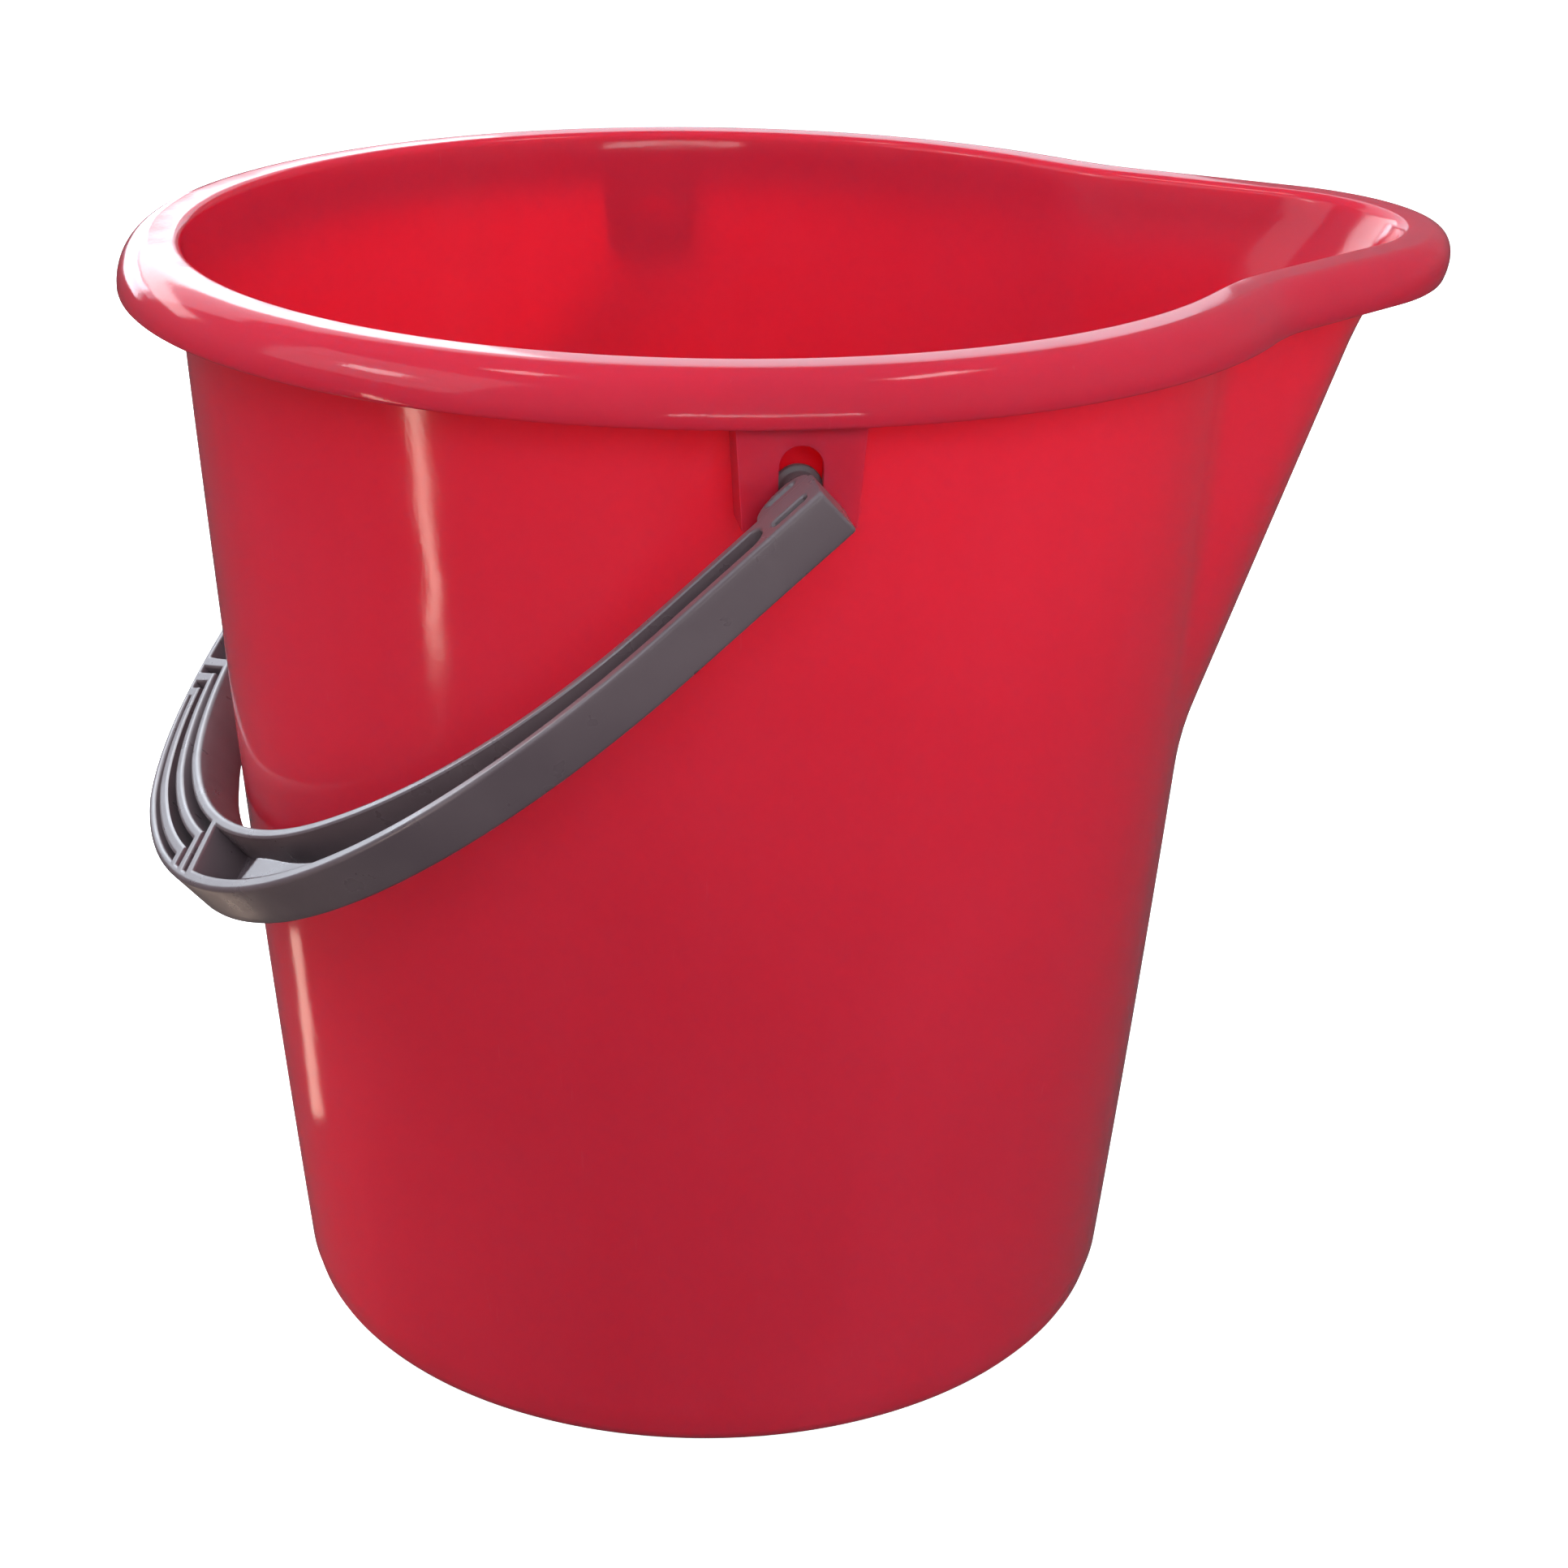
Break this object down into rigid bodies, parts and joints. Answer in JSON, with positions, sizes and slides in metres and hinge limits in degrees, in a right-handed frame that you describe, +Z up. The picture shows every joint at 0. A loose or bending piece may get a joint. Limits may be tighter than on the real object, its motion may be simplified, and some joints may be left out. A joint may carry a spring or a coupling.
{
  "type": "wash bucket",
  "caption": "Round moulded wash bucket with a rolled rim, a pouring spout and a swinging plastic bail handle whose studs clip into slotted lugs under the rim.",
  "frame": {"origin": "on the bucket's own axis, in the plane it stands on", "axes": "+Z up, +X out along the pouring spout, the bail turns about a line parallel to Y"},
  "size_m": [0.3362, 0.333, 0.2857],
  "materials": {
    "red_plastic": "smooth injection-moulded polypropylene, glossy and slightly translucent",
    "grey_plastic": "satin injection-moulded polypropylene"
  },
  "bodies": {
    "bucket": {"bucket_body": "red_plastic"},
    "bail": {"bail_handle": "grey_plastic"}
  },
  "joints": [
    {"name": "bail_pivot", "type": "hinge", "parent": "bucket", "child": "bail", "pos_m": [-0.0014, 0, 0.2594], "axis": [0, 1, 0], "range_deg": [0, 210]}
  ]
}
